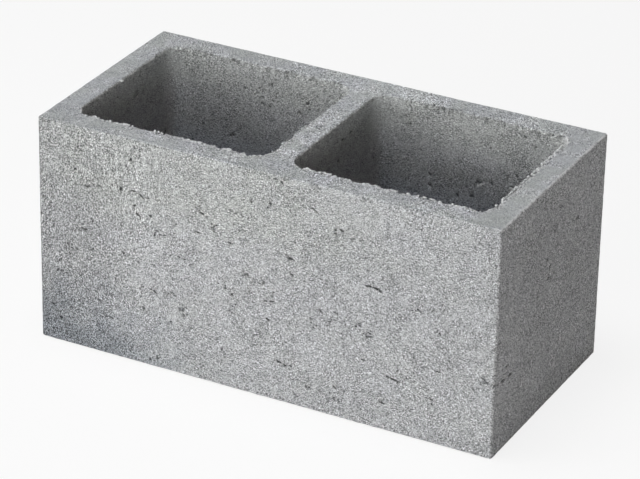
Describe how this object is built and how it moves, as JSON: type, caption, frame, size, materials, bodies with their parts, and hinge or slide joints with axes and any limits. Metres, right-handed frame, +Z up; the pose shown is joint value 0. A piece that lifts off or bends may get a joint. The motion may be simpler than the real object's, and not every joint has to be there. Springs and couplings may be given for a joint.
{
  "type": "concrete block",
  "caption": "Hollow concrete masonry block with drafted cells open from the top face to the bed face, for laying in mortar courses.",
  "frame": {"origin": "middle of the bed face, which is the face that the block stands on", "axes": "+X along the block's length, +Y from the front face shell to the back one, +Z up along the cells to the face where the walls are thinnest"},
  "size_m": [0.39, 0.19, 0.19],
  "materials": {
    "concrete": "bare pressed concrete, light grey, sandy and open grained, with pits and worn edges"
  },
  "bodies": {
    "root": {"concrete_block": "concrete"}
  },
  "joints": []
}
